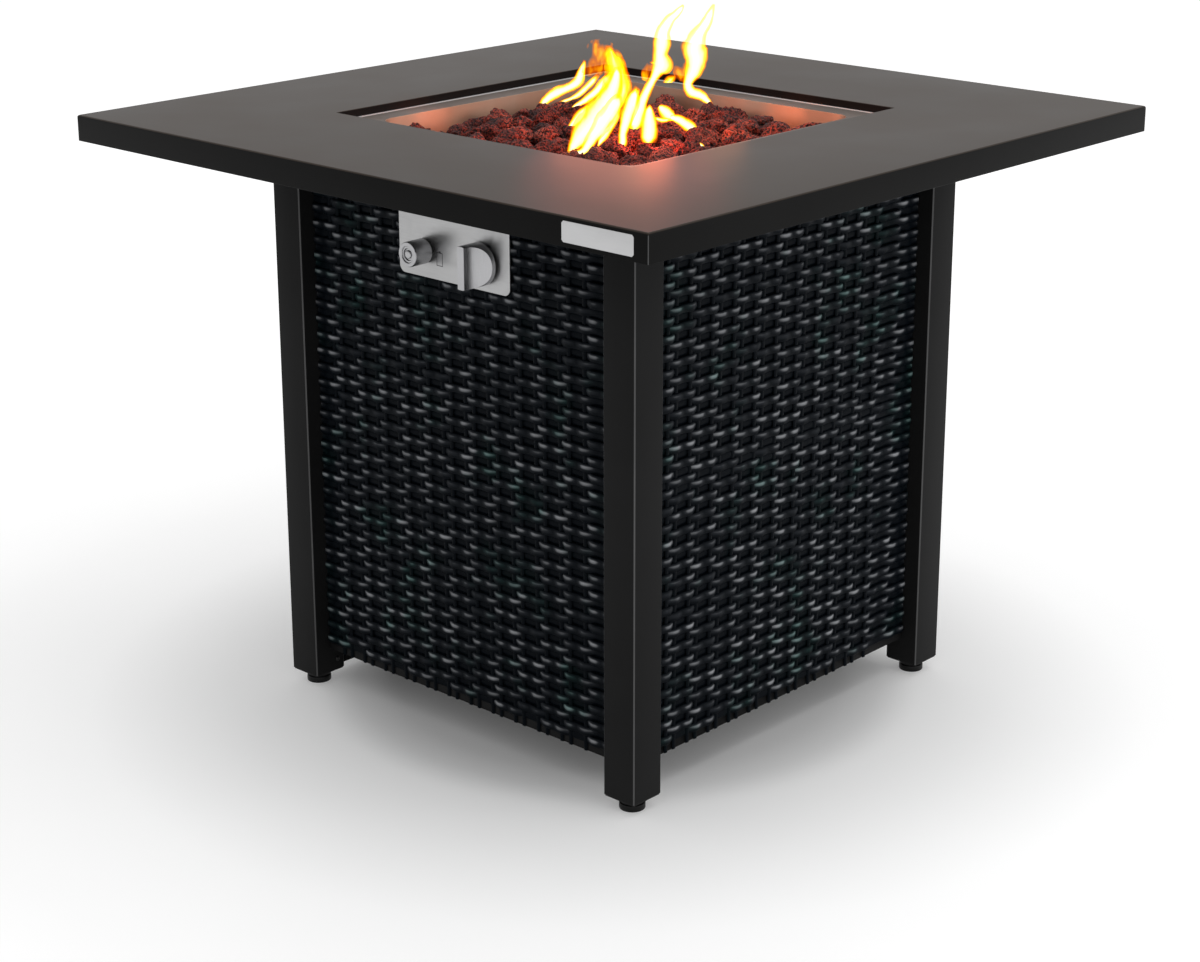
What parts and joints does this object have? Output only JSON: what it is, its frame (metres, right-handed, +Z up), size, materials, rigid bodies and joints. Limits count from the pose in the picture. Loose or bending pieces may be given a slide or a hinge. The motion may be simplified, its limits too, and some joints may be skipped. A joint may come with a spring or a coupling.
{
  "type": "gas fire pit table",
  "caption": "Square gas fire pit table: pressed metal top with a recessed pan of lava rocks, woven panels between square legs, control plate and hinged access door.",
  "frame": {"origin": "on the floor, under the middle of the square table top", "axes": "+Z up; -Y is the side with the control plate; the access door is on the -X side"},
  "size_m": [0.8, 0.8008, 0.645],
  "materials": {
    "top_paint": "satin powder coat, warm dark grey",
    "frame_paint": "satin black powder coat",
    "pan_steel": "stainless steel, satin",
    "burner_steel": "stainless steel, heat tinted",
    "zinc_steel": "galvanised",
    "plate_steel": "fine brushed",
    "brass": "machined",
    "pipe_aluminium": "drawn tube",
    "probe_steel": "heat darkened wire",
    "insulator_ceramic": "white glazed ceramic",
    "lava_stone": "porous, dark red brown",
    "woven_resin": "flat woven resin strip, navy black",
    "knob_metal": "satin silver",
    "black_plastic": "moulded, matt",
    "battery_jacket": "printed jacket, left plain",
    "badge_metal": "brushed, blank",
    "foot_rubber": "moulded black",
    "hinge_steel": "black"
  },
  "bodies": {
    "table": {"table_top": "top_paint", "top_clips": "frame_paint", "badge_plate": "badge_metal", "burner_pan": "pan_steel", "burner": "burner_steel", "burner_locknut": "brass", "gas_jet": "brass", "gas_pipe": "pipe_aluminium", "probe_plate": "burner_steel", "spark_insulator": "insulator_ceramic", "spark_wire": "probe_steel", "flame_sensor": "probe_steel", "lava_rocks": "lava_stone", "feet": "foot_rubber", "door_sill": "frame_paint", "front_frame": "frame_paint", "front_weave": "woven_resin", "right_frame": "frame_paint", "right_weave": "woven_resin", "back_frame": "frame_paint", "back_weave": "woven_resin", "hinge_leg_leaves": "hinge_steel", "magnetic_catch": "black_plastic", "control_plate": "plate_steel", "control_bracket": "zinc_steel", "valve_body": "brass", "valve_cap": "brass", "valve_nut": "brass", "igniter_body": "black_plastic", "igniter_nut": "black_plastic", "igniter_battery": "battery_jacket", "heat_shield": "zinc_steel", "leg_front_left": "frame_paint", "leg_front_right": "frame_paint", "leg_back_left": "frame_paint", "leg_back_right": "frame_paint", "upper_rail_front": "frame_paint", "upper_rail_right": "frame_paint", "upper_rail_back": "frame_paint", "upper_rail_left": "frame_paint"},
    "door": {"door_frame": "frame_paint", "door_weave": "woven_resin", "door_knob": "frame_paint", "hinge_door_leaves": "hinge_steel", "catch_strike": "zinc_steel"},
    "valve_plunger": {"valve_push_pin": "brass"},
    "gas_knob": {"control_knob": "knob_metal", "valve_stem": "brass"},
    "igniter_cap": {"igniter_cap": "knob_metal"},
    "igniter_button": {"igniter_button": "knob_metal"}
  },
  "joints": [
    {"name": "door_hinge", "type": "hinge", "parent": "table", "child": "door", "pos_m": [-0.2455, 0.2135, 0.3295], "axis": [0, 0, -1], "range_deg": [0, 110]},
    {"name": "gas_push", "type": "slide", "parent": "table", "child": "valve_plunger", "axis": [0, 1, 0], "range_m": [0, 0.003], "stiffness_N_per_m": 800, "springref_m": -0.003},
    {"name": "gas_turn", "type": "hinge", "parent": "valve_plunger", "child": "gas_knob", "pos_m": [0.041, -0.25, 0.53], "axis": [0, -1, 0], "range_deg": [0, 180]},
    {"name": "cap_unscrew", "type": "slide", "parent": "table", "child": "igniter_cap", "axis": [0, -1, 0], "range_m": [0, 0.014]},
    {"name": "igniter_push", "type": "slide", "parent": "igniter_cap", "child": "igniter_button", "axis": [0, 1, 0], "range_m": [0, 0.003], "stiffness_N_per_m": 600, "springref_m": -0.003}
  ]
}
